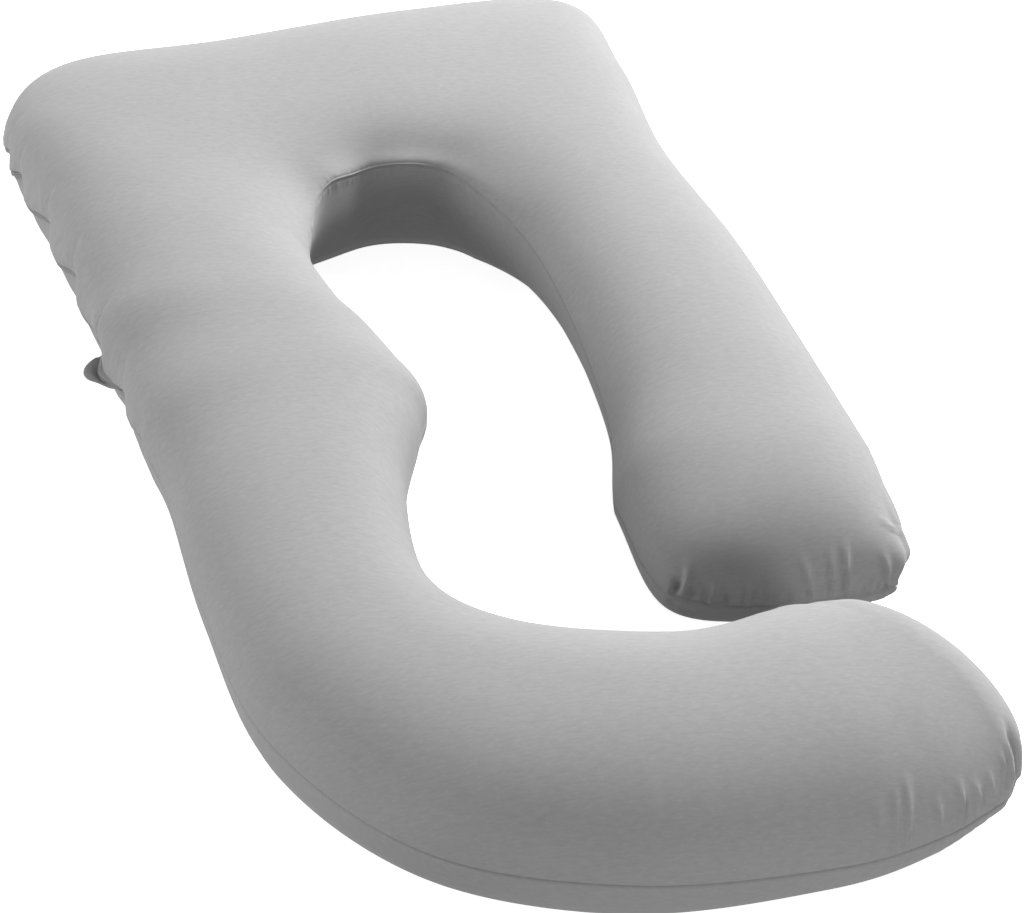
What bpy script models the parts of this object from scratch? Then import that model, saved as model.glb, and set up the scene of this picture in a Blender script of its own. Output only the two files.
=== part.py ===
"""Body pillow: one filled cover bent into a J, with a zip strip and the folded end of that strip."""
import bmesh
import bpy
import numpy as np

# Plan of the sections from the short leg's end, round the head bar and down the long leg to the hook's end.
# inner and outer are the two ends of a section on the plan, crown its height, the seam columns say how high
# the seam sits as a share of the crown, slices is the number of steps on to the next section. Metres.
# name         inner x  inner y  outer x  outer y  crown  seam in  seam out  slices
SECTIONS = (
    ("short_end", 0.496, 0.557, 0.796, 0.512, 0.182, 0.38, 0.29, 3),
    ("short_low", 0.538, 0.671, 0.792, 0.689, 0.184, 0.42, 0.46, 4),
    ("short_mid", 0.559, 0.857, 0.794, 0.879, 0.183, 0.51, 0.52, 4),
    ("short_top", 0.549, 1.004, 0.786, 1.093, 0.183, 0.61, 0.48, 4),
    ("corner_r1", 0.490, 1.105, 0.808, 1.301, 0.185, 0.78, 0.51, 5),
    ("corner_r2", 0.439, 1.124, 0.794, 1.468, 0.187, 0.81, 0.49, 5),
    ("bar_right", 0.396, 1.137, 0.561, 1.498, 0.190, 0.76, 0.50, 4),
    ("bar_left", 0.363, 1.121, 0.287, 1.498, 0.188, 0.76, 0.46, 5),
    ("corner_l1", 0.328, 1.105, 0.070, 1.490, 0.191, 0.76, 0.50, 5),
    ("corner_l2", 0.305, 1.067, -0.008, 1.379, 0.192, 0.67, 0.50, 12),
    ("long_top", 0.287, 0.999, 0.004, 1.185, 0.194, 0.56, 0.49, 12),
    ("swell_1", 0.303, 0.903, 0.016, 1.005, 0.195, 0.47, 0.50, 5),
    ("swell_2", 0.321, 0.848, 0.012, 0.939, 0.196, 0.47, 0.49, 5),
    ("swell_3", 0.338, 0.789, 0.026, 0.863, 0.195, 0.41, 0.50, 5),
    ("swell_4", 0.346, 0.742, 0.024, 0.780, 0.197, 0.42, 0.51, 4),
    ("long_mid", 0.324, 0.700, 0.033, 0.683, 0.198, 0.43, 0.48, 4),
    ("long_low", 0.274, 0.593, 0.027, 0.507, 0.200, 0.44, 0.51, 4),
    ("hook_1", 0.257, 0.450, 0.043, 0.315, 0.199, 0.42, 0.50, 4),
    ("hook_2", 0.316, 0.364, 0.144, 0.148, 0.200, 0.46, 0.46, 4),
    ("hook_3", 0.456, 0.300, 0.313, 0.049, 0.205, 0.47, 0.47, 4),
    ("hook_4", 0.545, 0.296, 0.506, 0.017, 0.203, 0.55, 0.42, 3),
    ("hook_5", 0.564, 0.309, 0.618, 0.023, 0.198, 0.45, 0.40, 3),
    ("hook_end", 0.579, 0.302, 0.710, 0.057, 0.194, 0.39, 0.31, 3),
)

# The two ends: how far each closes beyond its last section, and how much its plan corners are rounded.
# SLICE_ROUND is the same measure along the legs, where it plays no part.
SHORT_END_REACH = 0.172
HOOK_END_REACH = 0.072
SHORT_END_ROUND = 0.189
HOOK_END_ROUND = 0.341
SLICE_ROUND = 0.5
# The hook's crest goes on falling over its end.
HOOK_END_FALL = 0.006

# Half a section, as shares of its half width: close together at the seam, wider over the crown.
ACROSS = (0.0, 0.26, 0.50, 0.70, 0.85, 0.94, 0.985, 0.9985, 1.0)
END_RINGS = (0.25, 0.50, 0.70, 0.85, 0.94, 0.985, 0.9985, 1.0)

# Roundness of the filled section.
SIDE_POWER = 0.90
TOP_POWER = 0.92
# How much fuller the two ends and their corners stand than a plain dome.
END_FULLNESS = 0.15
CORNER_FULLNESS = 0.27
WALL_POWER_SLOPE = 1.5
WALL_POWER_LEAST = 0.40
SEAM_SHARE_EVEN = 0.42
# The underside is this share deeper than the seam's height, so that it lies flat on what it rests on.
UNDERSIDE_SHARE = 1.25

# Sewn seam: the channel it draws in.
SEAM_DEPTH = 0.003

# Gathers at the two ends.
GATHER_DEPTH = 0.0025
GATHER_POWER = 6
# Columns at each corner that stay plain.
PLAIN_CORNER = 3

# Zip in the outer seam of the long leg, from the head bar's corner down: plan y of its two ends.
ZIP_TOP_Y = 1.400
ZIP_LOW_Y = 0.925
SCALLOP_LOW_Y = 0.800
SCALLOP_PITCH = 0.092
SCALLOP_OUT = 0.006
SCALLOP_RISE = 0.006
# How closely the scallops keep to the seam, and how far across the plan the long leg's outer side reaches.
SCALLOP_POWER = 8
LONG_SIDE_X = 0.1
STRIP_TALL = 0.014
STRIP_THICK = 0.0026
STRIP_BEVEL = 0.0008
STRIP_DROP = 0.003
CLEARANCE = 0.0006

# Folded end of the strip: share of its length along the seam, reach outward, half thickness. Metres.
# along  reach   half thickness
EAR_FOLDS = (
    (0.00, 0.005, 0.0014),
    (0.12, 0.014, 0.0020),
    (0.26, 0.023, 0.0024),
    (0.42, 0.023, 0.0026),
    (0.62, 0.017, 0.0026),
    (0.82, 0.011, 0.0022),
    (1.00, 0.005, 0.0014),
)
# Outline of one fold: share of its reach, share of its half thickness.
EAR_OUTLINE = (
    (0.35, 1.15),
    (0.75, 1.00),
    (1.00, 0.45),
)
EAR_LONG = 0.046
EAR_SPARE = 0.03
EAR_TOP_Y = 0.922
EAR_DROOP = 0.20
EAR_ROOT = 0.0055
EAR_SEAT = 0.0002

CLOTH_GREY = (0.40, 0.40, 0.40, 1.0)
COLLECTION = "body_pillow"


def clear_scene():
    for old in list(bpy.data.objects):
        bpy.data.objects.remove(old, do_unlink=True)


def spline(rows, at):
    """Smooth curve through every row of a table (Catmull-Rom), read at the fractional rows in `at`."""
    rows = np.asarray(rows, dtype=float)
    first = 2.0 * rows[:1] - rows[1:2]
    last = 2.0 * rows[-1:] - rows[-2:-1]
    run = np.concatenate([first, rows, last])
    base = np.clip(np.floor(at).astype(int), 0, len(rows) - 2)
    part = (at - base)[:, None]
    before, here = run[base], run[base + 1]
    there, after = run[base + 2], run[base + 3]
    cubic = -before + 3.0 * here - 3.0 * there + after
    square = 2.0 * before - 5.0 * here + 4.0 * there - after
    return 0.5 * (2.0 * here + (there - before) * part + square * part**2 + cubic * part**3)


def slices():
    """Every slice of the body: inner x, y, outer x, y, crown, seam height inside and outside."""
    numbers = [row[1:8] for row in SECTIONS]
    at = [0.0]
    for index, row in enumerate(SECTIONS[:-1]):
        steps = row[8]
        at.extend(index + (step + 1) / steps for step in range(steps))
    return spline(numbers, np.array(at))


def closing(row, beyond, reach, rounding, fall):
    """Rings that close one end: the last slice, the way it closes, its reach and its roundness."""
    across = row[2:4] - row[0:2]
    way = np.array([across[1], -across[0]]) / np.linalg.norm(across)
    middle = (row[0:2] + row[2:4]) / 2.0
    if np.dot(way, middle - beyond) < 0.0:
        way = -way
    lowered = [row - np.array([0, 0, 0, 0, fall * share, 0, 0]) for share in END_RINGS]
    return [(low, way, reach, share, rounding) for low, share in zip(lowered, END_RINGS)]


def rings():
    """All rings in order, from the short leg's end seam to the hook's end seam."""
    body = slices()
    middles = (body[:, 0:2] + body[:, 2:4]) / 2.0
    short = closing(body[0], middles[1], SHORT_END_REACH, SHORT_END_ROUND, 0.0)
    hook = closing(body[-1], middles[-2], HOOK_END_REACH, HOOK_END_ROUND, HOOK_END_FALL)
    still = np.zeros(2)
    plain = [(row, still, 0.0, 0.0, SLICE_ROUND) for row in body]
    return short[::-1] + plain + hook


def ring_points(ring, top):
    """One ring of one panel, from the inner seam to the outer seam, as an array of points."""
    row, way, reach, share, rounding = ring
    half = np.array(ACROSS)
    u = np.concatenate([-half[:0:-1], half])
    x = u * np.sqrt(1.0 - rounding * share**2)
    y = share * np.sqrt(1.0 - rounding * u**2)
    lift = np.sqrt((1.0 - u**2) * (1.0 - share**2))
    radius = np.sqrt(1.0 - lift**2)
    safe = np.maximum(radius, 1e-9)
    side = x / np.maximum(np.hypot(x, y), 1e-9)
    seam_in, seam_out = row[5], row[6]
    power = np.full(len(u), SIDE_POWER)
    if not top:
        facing = seam_in * (1.0 - side) / 2.0 + seam_out * (1.0 + side) / 2.0
        steep = SIDE_POWER - WALL_POWER_SLOPE * (facing - SEAM_SHARE_EVEN)
        power = np.clip(steep, WALL_POWER_LEAST, 1.0)
    grow = np.where(radius > 1e-6, radius**power / safe, 0.0)
    x = x * grow
    y = y * grow
    crown = row[4]
    seam_z = crown * (seam_in * (1.0 - x) / 2.0 + seam_out * (1.0 + x) / 2.0)
    fullness = 1.0 - END_FULLNESS * share**2 - CORNER_FULLNESS * (u * share) ** 2
    rise = lift ** (fullness * (TOP_POWER if top else 1.0))
    if top:
        z = seam_z + (crown - seam_z) * rise
    else:
        z = np.maximum(seam_z - seam_z * UNDERSIDE_SHARE * rise, 0.0)
    middle = (row[0:2] + row[2:4]) / 2.0
    half_across = (row[2:4] - row[0:2]) / 2.0
    plan = middle + x[:, None] * half_across + y[:, None] * way * reach
    return np.column_stack([plan, z])


def panels():
    """Both panels as grids of points that share their rim."""
    every = rings()
    top = np.array([ring_points(ring, True) for ring in every])
    under = np.array([ring_points(ring, False) for ring in every])
    return top, under


def right_of(line):
    """Unit plan normals of a line of points, to the right of its run."""
    run = np.gradient(line[:, 0:2], axis=0)
    run /= np.linalg.norm(run, axis=1)[:, None]
    return np.column_stack([run[:, 1], -run[:, 0], np.zeros(len(run))])


def rim_normals(grid):
    """Plan normals that point out of the body along its outer side, its inner side and its two ends."""
    outer = right_of(grid[:, -1])
    inner = -right_of(grid[:, 0])
    start = right_of(grid[0])
    finish = -right_of(grid[-1])
    return outer, inner, start, finish


def scallop(y):
    """Swell of the cloth between the puckers of the zip, 0 to 1, at plan heights y."""
    inside = (y < ZIP_TOP_Y) & (y > SCALLOP_LOW_Y)
    wave = np.abs(np.sin(np.pi * (ZIP_TOP_Y - y) / SCALLOP_PITCH))
    return np.where(inside, wave, 0.0)


def dress(top, under):
    """Draw in the seam's channel, swell the cloth along the zip and gather the two ends."""
    outer, inner, start, finish = rim_normals(top)
    count = top.shape[1]
    swell = scallop(top[:, -1, 1])
    swell[: len(END_RINGS) + 1] = 0.0
    half = (count - 1) // 2
    nearness = np.array(ACROSS[1:]) ** SCALLOP_POWER
    for grid in (top, under):
        for column in range(half):
            amount = swell * nearness[column]
            grid[:, half + 1 + column] += outer * (SCALLOP_OUT * amount)[:, None]
            if column < half - 1:
                grid[:, half + 1 + column, 2] += SCALLOP_RISE * amount
    top[:, -1, 2] += SCALLOP_RISE * swell
    under[:, -1, 2] += SCALLOP_RISE * swell
    pleat = np.where(np.arange(count) % 2 == 0, 1.0, -1.0)
    pleat[:PLAIN_CORNER] = 0.0
    pleat[-PLAIN_CORNER:] = 0.0
    for grid in (top, under):
        for step, share in enumerate(END_RINGS[::-1]):
            depth = GATHER_DEPTH * share**GATHER_POWER if step > 0 else 0.0
            grid[step] += start * (pleat * depth)[:, None]
            grid[-1 - step] += finish * (pleat * depth)[:, None]
    for grid in (top, under):
        grid[1:-1, -1] -= outer[1:-1] * SEAM_DEPTH
        grid[1:-1, 0] -= inner[1:-1] * SEAM_DEPTH
        grid[0] -= start * SEAM_DEPTH
        grid[-1] -= finish * SEAM_DEPTH
    return top, under


def add_solid(name, verts, faces, material_name):
    """One closed named solid with its own material."""
    mesh = bpy.data.meshes.new(name)
    mesh.from_pydata([tuple(float(c) for c in point) for point in verts], [], faces)
    work = bmesh.new()
    work.from_mesh(mesh)
    bmesh.ops.remove_doubles(work, verts=work.verts, dist=1e-5)
    bmesh.ops.recalc_face_normals(work, faces=work.faces)
    work.to_mesh(mesh)
    work.free()
    mesh.polygons.foreach_set("use_smooth", [True] * len(mesh.polygons))
    material = bpy.data.materials.new(material_name)
    material.use_nodes = True
    shader = material.node_tree.nodes["Principled BSDF"]
    shader.inputs["Base Color"].default_value = CLOTH_GREY
    shader.inputs["Roughness"].default_value = 0.9
    mesh.materials.append(material)
    solid = bpy.data.objects.new(name, mesh)
    bpy.data.collections[COLLECTION].objects.link(solid)
    return solid


def grid_faces(rows, columns, first):
    """Quads of a grid of points whose numbering starts at `first`."""
    faces = []
    for row in range(rows - 1):
        for column in range(columns - 1):
            corner = first + row * columns + column
            faces.append((corner, corner + 1, corner + columns + 1, corner + columns))
    return faces


def build_pillow(top, under):
    rows, columns = top.shape[0:2]
    verts = np.concatenate([top.reshape(-1, 3), under.reshape(-1, 3)])
    faces = grid_faces(rows, columns, 0) + grid_faces(rows, columns, rows * columns)
    return add_solid("pillow", verts, faces, "pillow_jersey")


def loft(name, loops, material_name):
    """Closed solid through a run of matching loops, capped at both ends."""
    count = len(loops[0])
    verts = np.concatenate(loops)
    faces = []
    for row in range(len(loops) - 1):
        for point in range(count):
            a = row * count + point
            b = row * count + (point + 1) % count
            faces.append((a, b, b + count, a + count))
    faces.append(tuple(range(count)))
    last = (len(loops) - 1) * count
    faces.append(tuple(range(last, last + count)))
    return add_solid(name, verts, faces, material_name)


def zip_line(rim, normals, top_y, low_y):
    """Stretch of the outer rim between two plan heights, on the long leg."""
    keep = (rim[:, 1] <= top_y) & (rim[:, 1] >= low_y) & (rim[:, 0] < LONG_SIDE_X)
    return rim[keep], normals[keep]


def build_strip(rim, normals):
    """Folded strip that covers the zip, standing just off the rim."""
    line, out = zip_line(rim, normals, ZIP_TOP_Y, ZIP_LOW_Y)
    back, front = CLEARANCE, CLEARANCE + STRIP_THICK
    high, low = STRIP_TALL / 2.0 - STRIP_DROP, -STRIP_TALL / 2.0 - STRIP_DROP
    profile = (
        (back, high),
        (front - STRIP_BEVEL, high),
        (front, high - STRIP_BEVEL),
        (front, low + STRIP_BEVEL),
        (front - STRIP_BEVEL, low),
        (back, low),
    )
    up = np.array([0.0, 0.0, 1.0])
    loops = []
    for point, way in zip(line, out):
        loops.append(np.array([point + way * reach + up * height for reach, height in profile]))
    return loft("zip_strip", loops, "strip_jersey")


def build_ear(rim, normals):
    """Folded end of the strip: a soft pointed leaf that stands out from the side."""
    line, out = zip_line(rim, normals, EAR_TOP_Y + EAR_SPARE, EAR_TOP_Y - EAR_LONG - EAR_SPARE)
    order = np.argsort(line[:, 1])
    line, out = line[order], out[order]
    loops = []
    for along, reach, half in EAR_FOLDS:
        y = EAR_TOP_Y - along * EAR_LONG
        point = np.array([np.interp(y, line[:, 1], line[:, axis]) for axis in range(3)])
        way = np.array([np.interp(y, line[:, 1], out[:, axis]) for axis in range(3)])
        upper = [(0.0, (EAR_ROOT + half) / 2.0)]
        upper += [(share, half * thick) for share, thick in EAR_OUTLINE]
        lower = [(share, -height) for share, height in upper[::-1]]
        loop = []
        for share, height in upper + lower:
            drop = EAR_DROOP * reach * share + STRIP_DROP
            far = EAR_SEAT + reach * share
            loop.append(point + way * far + np.array([0.0, 0.0, height - drop]))
        loops.append(np.array(loop))
    return loft("zip_ear", loops, "ear_jersey")


def centre_on_base(solids):
    """Put the origin at the middle of the footprint, on the underside."""
    points = np.array([tuple(v.co) for solid in solids for v in solid.data.vertices])
    low, high = points.min(axis=0), points.max(axis=0)
    shift = np.array([(low[0] + high[0]) / 2.0, (low[1] + high[1]) / 2.0, low[2]])
    for solid in solids:
        for vert in solid.data.vertices:
            vert.co = tuple(float(v) for v in np.array(vert.co) - shift)
        solid.data.update()


def build():
    clear_scene()
    group = bpy.data.collections.new(COLLECTION)
    bpy.context.scene.collection.children.link(group)
    top, under = panels()
    top, under = dress(top, under)
    rim = top[:, -1].copy()
    normals = rim_normals(top)[0]
    rim[1:-1] += normals[1:-1] * SEAM_DEPTH
    solids = [build_pillow(top, under), build_strip(rim, normals), build_ear(rim, normals)]
    centre_on_base(solids)


build()
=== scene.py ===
import bpy, bmesh, math
import numpy as np
from mathutils import Matrix, Vector


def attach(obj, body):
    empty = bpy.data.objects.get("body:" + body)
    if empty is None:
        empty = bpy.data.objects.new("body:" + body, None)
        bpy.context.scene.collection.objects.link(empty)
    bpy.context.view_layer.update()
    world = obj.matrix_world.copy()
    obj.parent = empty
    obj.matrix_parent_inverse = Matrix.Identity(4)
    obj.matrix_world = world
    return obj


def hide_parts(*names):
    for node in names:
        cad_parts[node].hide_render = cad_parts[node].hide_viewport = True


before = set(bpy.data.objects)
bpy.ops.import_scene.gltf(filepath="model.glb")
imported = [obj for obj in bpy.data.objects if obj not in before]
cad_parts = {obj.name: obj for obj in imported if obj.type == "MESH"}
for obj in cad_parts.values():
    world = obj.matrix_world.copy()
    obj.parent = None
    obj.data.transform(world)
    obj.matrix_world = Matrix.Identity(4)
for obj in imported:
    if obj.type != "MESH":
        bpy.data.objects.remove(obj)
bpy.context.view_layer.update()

scene = bpy.context.scene
mm = 0.001
print("stage: frame loaded")


def hexToLinear(code):
    channels = [int(code[i:i + 2], 16) / 255 for i in (0, 2, 4)]
    return tuple(c / 12.92 if c <= 0.04045 else ((c + 0.055) / 1.055) ** 2.4 for c in channels) + (1.0,)


def addNode(tree, kind, values=None, links=None, **settings):
    # one node: its settings, its socket values, and where its inputs come from
    node = tree.nodes.new(kind)
    for name, value in settings.items():
        setattr(node, name, value)
    for socket, value in (values or {}).items():
        node.inputs[socket].default_value = value
    for socket, source in (links or {}).items():
        tree.links.new(source, node.inputs[socket])
    return node


def smoothStep(low, high, value):
    t = np.clip((value - low) / (high - low), 0, 1)
    return t * t * (3 - 2 * t)


def plateau(span, value):
    # 0 outside, 1 inside: rises over the first two places of the span and falls over the last two
    return smoothStep(span[0], span[1], value) * (1 - smoothStep(span[2], span[3], value))


jersey = {
    "plain": "A7A7A7", "bleached": "ABABAB", "dyed": "A3A3A3",   # the yarn, its paler and its darker fibres
    "fleck": "AFAFAF",                                     # the few undyed fibres
    "grain": -12,                                          # degrees the knit's courses run off the plan's x
    "slubLong": 16 * mm, "slubWide": 5.0 * mm,             # heather streaks: real yarn 0.6 mm
    "fleckLong": 8 * mm, "fleckWide": 2.3 * mm,
    "cloudLong": 180 * mm, "cloudWide": 90 * mm, "cloud": 0.015,   # slow drift of the dye
    "wale": 1.5 * mm, "course": 1.9 * mm,                  # knit loops; real 0.7 and 0.9 mm
    "bump": 0.22 * mm, "bumpShare": 0.12,
    "roughness": 0.92, "specular": 0.18, "sheen": 0.12, "sheenRoughness": 0.5,
}


def heatherJersey(name, settings, paintedShadeScale=1.0):
    # single jersey knitted from heathered cotton: streaky grey, dead matt, a faint fuzz at grazing angles
    material = bpy.data.materials.new(name)
    material.use_nodes = True
    tree = material.node_tree
    shader = tree.nodes["Principled BSDF"]
    uv = addNode(tree, "ShaderNodeUVMap", uv_map="clothFlat")
    turned = addNode(tree, "ShaderNodeMapping", {"Rotation": (0, 0, -math.radians(settings["grain"]))},
                     {"Vector": uv.outputs[0]})

    def streaks(long, wide, detail, start):
        shrink = {"Scale": (1 / long, 1 / wide, 1), "Location": (start, start, 0)}
        place = addNode(tree, "ShaderNodeMapping", shrink, {"Vector": turned.outputs[0]})
        noise = addNode(tree, "ShaderNodeTexNoise", {"Scale": 1.0, "Detail": detail, "Roughness": 0.6},
                        {"Vector": place.outputs[0]}, noise_dimensions="2D")
        return noise.outputs["Fac"]

    slub = streaks(settings["slubLong"], settings["slubWide"], 2, 3.1)
    thin = streaks(settings["fleckLong"], settings["fleckWide"], 1, 17.7)
    cloudy = streaks(settings["cloudLong"], settings["cloudWide"], 2, 41.3)
    both = addNode(tree, "ShaderNodeMix", {"Factor": 0.4}, {2: slub, 3: thin}, data_type="FLOAT")
    ramp = addNode(tree, "ShaderNodeValToRGB", links={"Fac": both.outputs[0]})
    ends = ramp.color_ramp.elements
    ends[0].position, ends[1].position = 0.32, 0.68
    ends[0].color, ends[1].color = hexToLinear(settings["dyed"]), hexToLinear(settings["bleached"])
    middle = ends.new(0.5)
    middle.color = hexToLinear(settings["plain"])
    rarely = {"From Min": 0.64, "From Max": 0.74, "To Min": 0.0, "To Max": 0.55}
    rare = addNode(tree, "ShaderNodeMapRange", rarely, {"Value": thin})
    flecked = addNode(tree, "ShaderNodeMix", {7: hexToLinear(settings["fleck"])},
                      {0: rare.outputs[0], 6: ramp.outputs[0]}, data_type="RGBA")
    # a painted-shade factor, where one is given, darkens the whole cloth along with the dye's drift
    drift = {"From Min": 0.3, "From Max": 0.7,
             "To Min": (1 - settings["cloud"]) * paintedShadeScale, "To Max": (1 + settings["cloud"]) * paintedShadeScale}
    tone = addNode(tree, "ShaderNodeMapRange", drift, {"Value": cloudy})
    shade = addNode(tree, "ShaderNodeMix", {"Factor": 1.0}, {6: flecked.outputs[2], 7: tone.outputs[0]},
                    data_type="RGBA", blend_type="MULTIPLY")
    tree.links.new(shade.outputs[2], shader.inputs["Base Color"])

    # loops of the knit, and the yarn's own unevenness
    place = addNode(tree, "ShaderNodeMapping", {"Scale": (1 / settings["wale"], 1 / settings["course"], 1)},
                    {"Vector": turned.outputs[0]})
    loops = addNode(tree, "ShaderNodeTexVoronoi", {"Scale": 1.0, "Randomness": 0.3},
                    {"Vector": place.outputs[0]}, feature="SMOOTH_F1", voronoi_dimensions="2D")
    height = addNode(tree, "ShaderNodeMix", {"Factor": 0.5}, {2: loops.outputs["Distance"], 3: thin},
                     data_type="FLOAT")
    bump = addNode(tree, "ShaderNodeBump", {"Strength": settings["bumpShare"], "Distance": settings["bump"]},
                   {"Height": height.outputs[0]})
    tree.links.new(bump.outputs[0], shader.inputs["Normal"])
    shader.inputs["Roughness"].default_value = settings["roughness"]
    shader.inputs["Specular IOR Level"].default_value = settings["specular"]
    shader.inputs["Sheen Weight"].default_value = settings["sheen"]
    shader.inputs["Sheen Roughness"].default_value = settings["sheenRoughness"]
    return material


# the thread's colour is partly painted shade: set darker than the cloth so the stitched valleys stay dark
thread = {"colour": "747474", "ply": 900.0, "plyShade": 0.82, "roughness": 0.7}   # ply: twists a metre


def spunThread(name, settings):
    # spun polyester sewing thread: matt, its twist just showing; its colour is set well darker than the
    # cloth, partly the thread's own and partly painted shade for the stitched valleys it lies in
    material = bpy.data.materials.new(name)
    material.use_nodes = True
    tree = material.node_tree
    shader = tree.nodes["Principled BSDF"]
    place = addNode(tree, "ShaderNodeTexCoord")
    twist = addNode(tree, "ShaderNodeTexNoise", {"Scale": settings["ply"], "Detail": 1.0},
                    {"Vector": place.outputs["Object"]})
    ramp = addNode(tree, "ShaderNodeValToRGB", links={"Fac": twist.outputs["Fac"]})
    full = hexToLinear(settings["colour"])
    ramp.color_ramp.elements[0].color = tuple(c * settings["plyShade"] for c in full[:3]) + (1,)
    ramp.color_ramp.elements[1].color = full
    tree.links.new(ramp.outputs[0], shader.inputs["Base Color"])
    shader.inputs["Roughness"].default_value = settings["roughness"]
    return material


# Sections of the filled cover, short leg to hook: inner x, y, outer x, y, crown, seam height inside and out
# (shares of the crown), slices to the next one. Metres on the plan; planZero is where the part's origin lies.
planZero = np.array([0.3995, 0.7581])
sections = {
    "shortEnd":   (0.496, 0.557, 0.796, 0.512, 0.182, 0.38, 0.29, 18),
    "shortLow":   (0.538, 0.671, 0.792, 0.689, 0.184, 0.42, 0.46, 16),
    "shortMid":   (0.559, 0.857, 0.794, 0.879, 0.183, 0.51, 0.52, 18),
    "shortTop":   (0.549, 1.004, 0.786, 1.093, 0.183, 0.61, 0.48, 24),
    "cornerR1":   (0.490, 1.105, 0.808, 1.301, 0.185, 0.78, 0.51, 22),
    "cornerR2":   (0.439, 1.124, 0.794, 1.468, 0.187, 0.81, 0.49, 24),
    "barRight":   (0.396, 1.137, 0.561, 1.498, 0.190, 0.76, 0.50, 24),
    "barLeft":    (0.363, 1.121, 0.287, 1.498, 0.188, 0.76, 0.46, 24),
    "cornerL1":   (0.328, 1.105, 0.070, 1.490, 0.191, 0.76, 0.50, 24),
    "cornerL2":   (0.305, 1.067, -0.008, 1.379, 0.192, 0.67, 0.50, 48),
    "longTop":    (0.287, 0.999, 0.004, 1.185, 0.194, 0.56, 0.49, 48),
    "swell1":     (0.303, 0.903, 0.016, 1.005, 0.195, 0.47, 0.50, 18),
    "swell2":     (0.321, 0.848, 0.012, 0.939, 0.196, 0.47, 0.49, 18),
    "swell3":     (0.338, 0.789, 0.026, 0.863, 0.195, 0.41, 0.50, 18),
    "swell4":     (0.346, 0.742, 0.024, 0.780, 0.197, 0.42, 0.51, 16),
    "longMid":    (0.324, 0.700, 0.033, 0.683, 0.198, 0.43, 0.48, 16),
    "longLow":    (0.274, 0.593, 0.027, 0.507, 0.200, 0.44, 0.51, 16),
    "hook1":      (0.257, 0.450, 0.043, 0.315, 0.199, 0.42, 0.50, 16),
    "hook2":      (0.316, 0.364, 0.144, 0.148, 0.200, 0.46, 0.46, 16),
    "hook3":      (0.456, 0.300, 0.313, 0.049, 0.205, 0.47, 0.47, 20),
    "hook4":      (0.545, 0.296, 0.506, 0.017, 0.203, 0.55, 0.42, 30),
    "hook5":      (0.564, 0.306, 0.618, 0.023, 0.198, 0.45, 0.40, 26),
    "hookEnd":    (0.579, 0.302, 0.710, 0.057, 0.194, 0.39, 0.31, 1),
}
cover = {
    "columns": 140, "rimCrowding": 0.40,           # cells across each panel at the ends; the legs take half
    "seamCells": 12,                               # columns next to the seams that every ring keeps
    "underEdge": 26, "underStep": 8,               # the underside is flat inside its outer columns: few cells
    "shortRings": 44, "hookRings": 34, "endCrowding": 0.38,
    "shortFine": 10, "hookFine": 60,               # slices next to the ends that keep the fine columns
    "shortReach": 0.172, "shortRound": (0.42, 0.19),   # plan rounding of the corners, inner and outer
    "hookReach": 0.072, "hookRound": (0.34, 0.34), "hookFall": 0.006,
    "sidePower": 0.90, "underShare": 1.25,
    # under a high seam the side wall stands steeper: per share of height over the even one, and its bounds
    "wallSlope": 1.5, "wallEven": 0.42, "wallBounds": (0.4, 1.0),
    "easeRings": 8, "easeFrom": "cornerR1", "easeTo": "longTop",   # the inner bend evened out
    "crownPower": 0.92,                            # below 1 the filling stands fuller than a dome
    "endFullness": 0.15, "cornerFullness": 0.27,   # how much fuller still the ends and their corners stand
}


def spline(rows, at):
    # smooth curve through the rows of a table (Catmull-Rom)
    rows = np.asarray(rows, float)
    run = np.concatenate([2 * rows[:1] - rows[1:2], rows, 2 * rows[-1:] - rows[-2:-1]])
    base = np.clip(np.floor(at).astype(int), 0, len(rows) - 2)
    t = (at - base).reshape((-1,) + (1,) * (rows.ndim - 1))
    a, b, c, d = run[base], run[base + 1], run[base + 2], run[base + 3]
    return 0.5 * (2 * b + (c - a) * t + (2 * a - 5 * b + 4 * c - d) * t**2 + (-a + 3 * b - 3 * c + d) * t**3)


def crowded(t, crowding):
    # steps that shorten towards the seam
    return np.sin((t * (1 + crowding) - crowding * t**3) * math.pi / 2)


def ringPlan():
    # every ring from the short end's seam to the hook's end seam
    rows = list(sections.values())
    at = [0.0]
    for i, row in enumerate(rows[:-1]):
        at += [i + (k + 1) / row[7] for k in range(row[7])]
    body = spline([row[:7] for row in rows], np.array(at))
    n, first, last = len(body), cover["shortRings"], cover["hookRings"]

    def closing(row, beyond):
        across = row[2:4] - row[:2]
        way = np.array([across[1], -across[0]]) / np.linalg.norm(across)
        return way if np.dot(way, (row[:2] + row[2:4]) / 2 - beyond) > 0 else -way

    firstWay = closing(body[0], (body[1, :2] + body[1, 2:4]) / 2)
    lastWay = closing(body[-1], (body[-2, :2] + body[-2, 2:4]) / 2)
    rowOf = np.concatenate([np.zeros(first, int), np.arange(n), np.full(last, n - 1)])
    share = np.concatenate([crowded(np.arange(first, 0, -1) / first, cover["endCrowding"]), np.zeros(n),
                            crowded(np.arange(1, last + 1) / last, cover["endCrowding"])])
    way = np.concatenate([np.tile(firstWay, (first, 1)), np.zeros((n, 2)), np.tile(lastWay, (last, 1))])
    reach = np.repeat([cover["shortReach"], 0.0, cover["hookReach"]], [first, n, last])
    rounding = np.concatenate([np.tile(cover["shortRound"], (first, 1)), np.full((n, 2), 0.5),
                               np.tile(cover["hookRound"], (last, 1))])
    row = body[rowOf]
    row[first + n:, 4] -= cover["hookFall"] * share[first + n:]    # its crest falls on
    return row, share, way, reach, rounding


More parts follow.
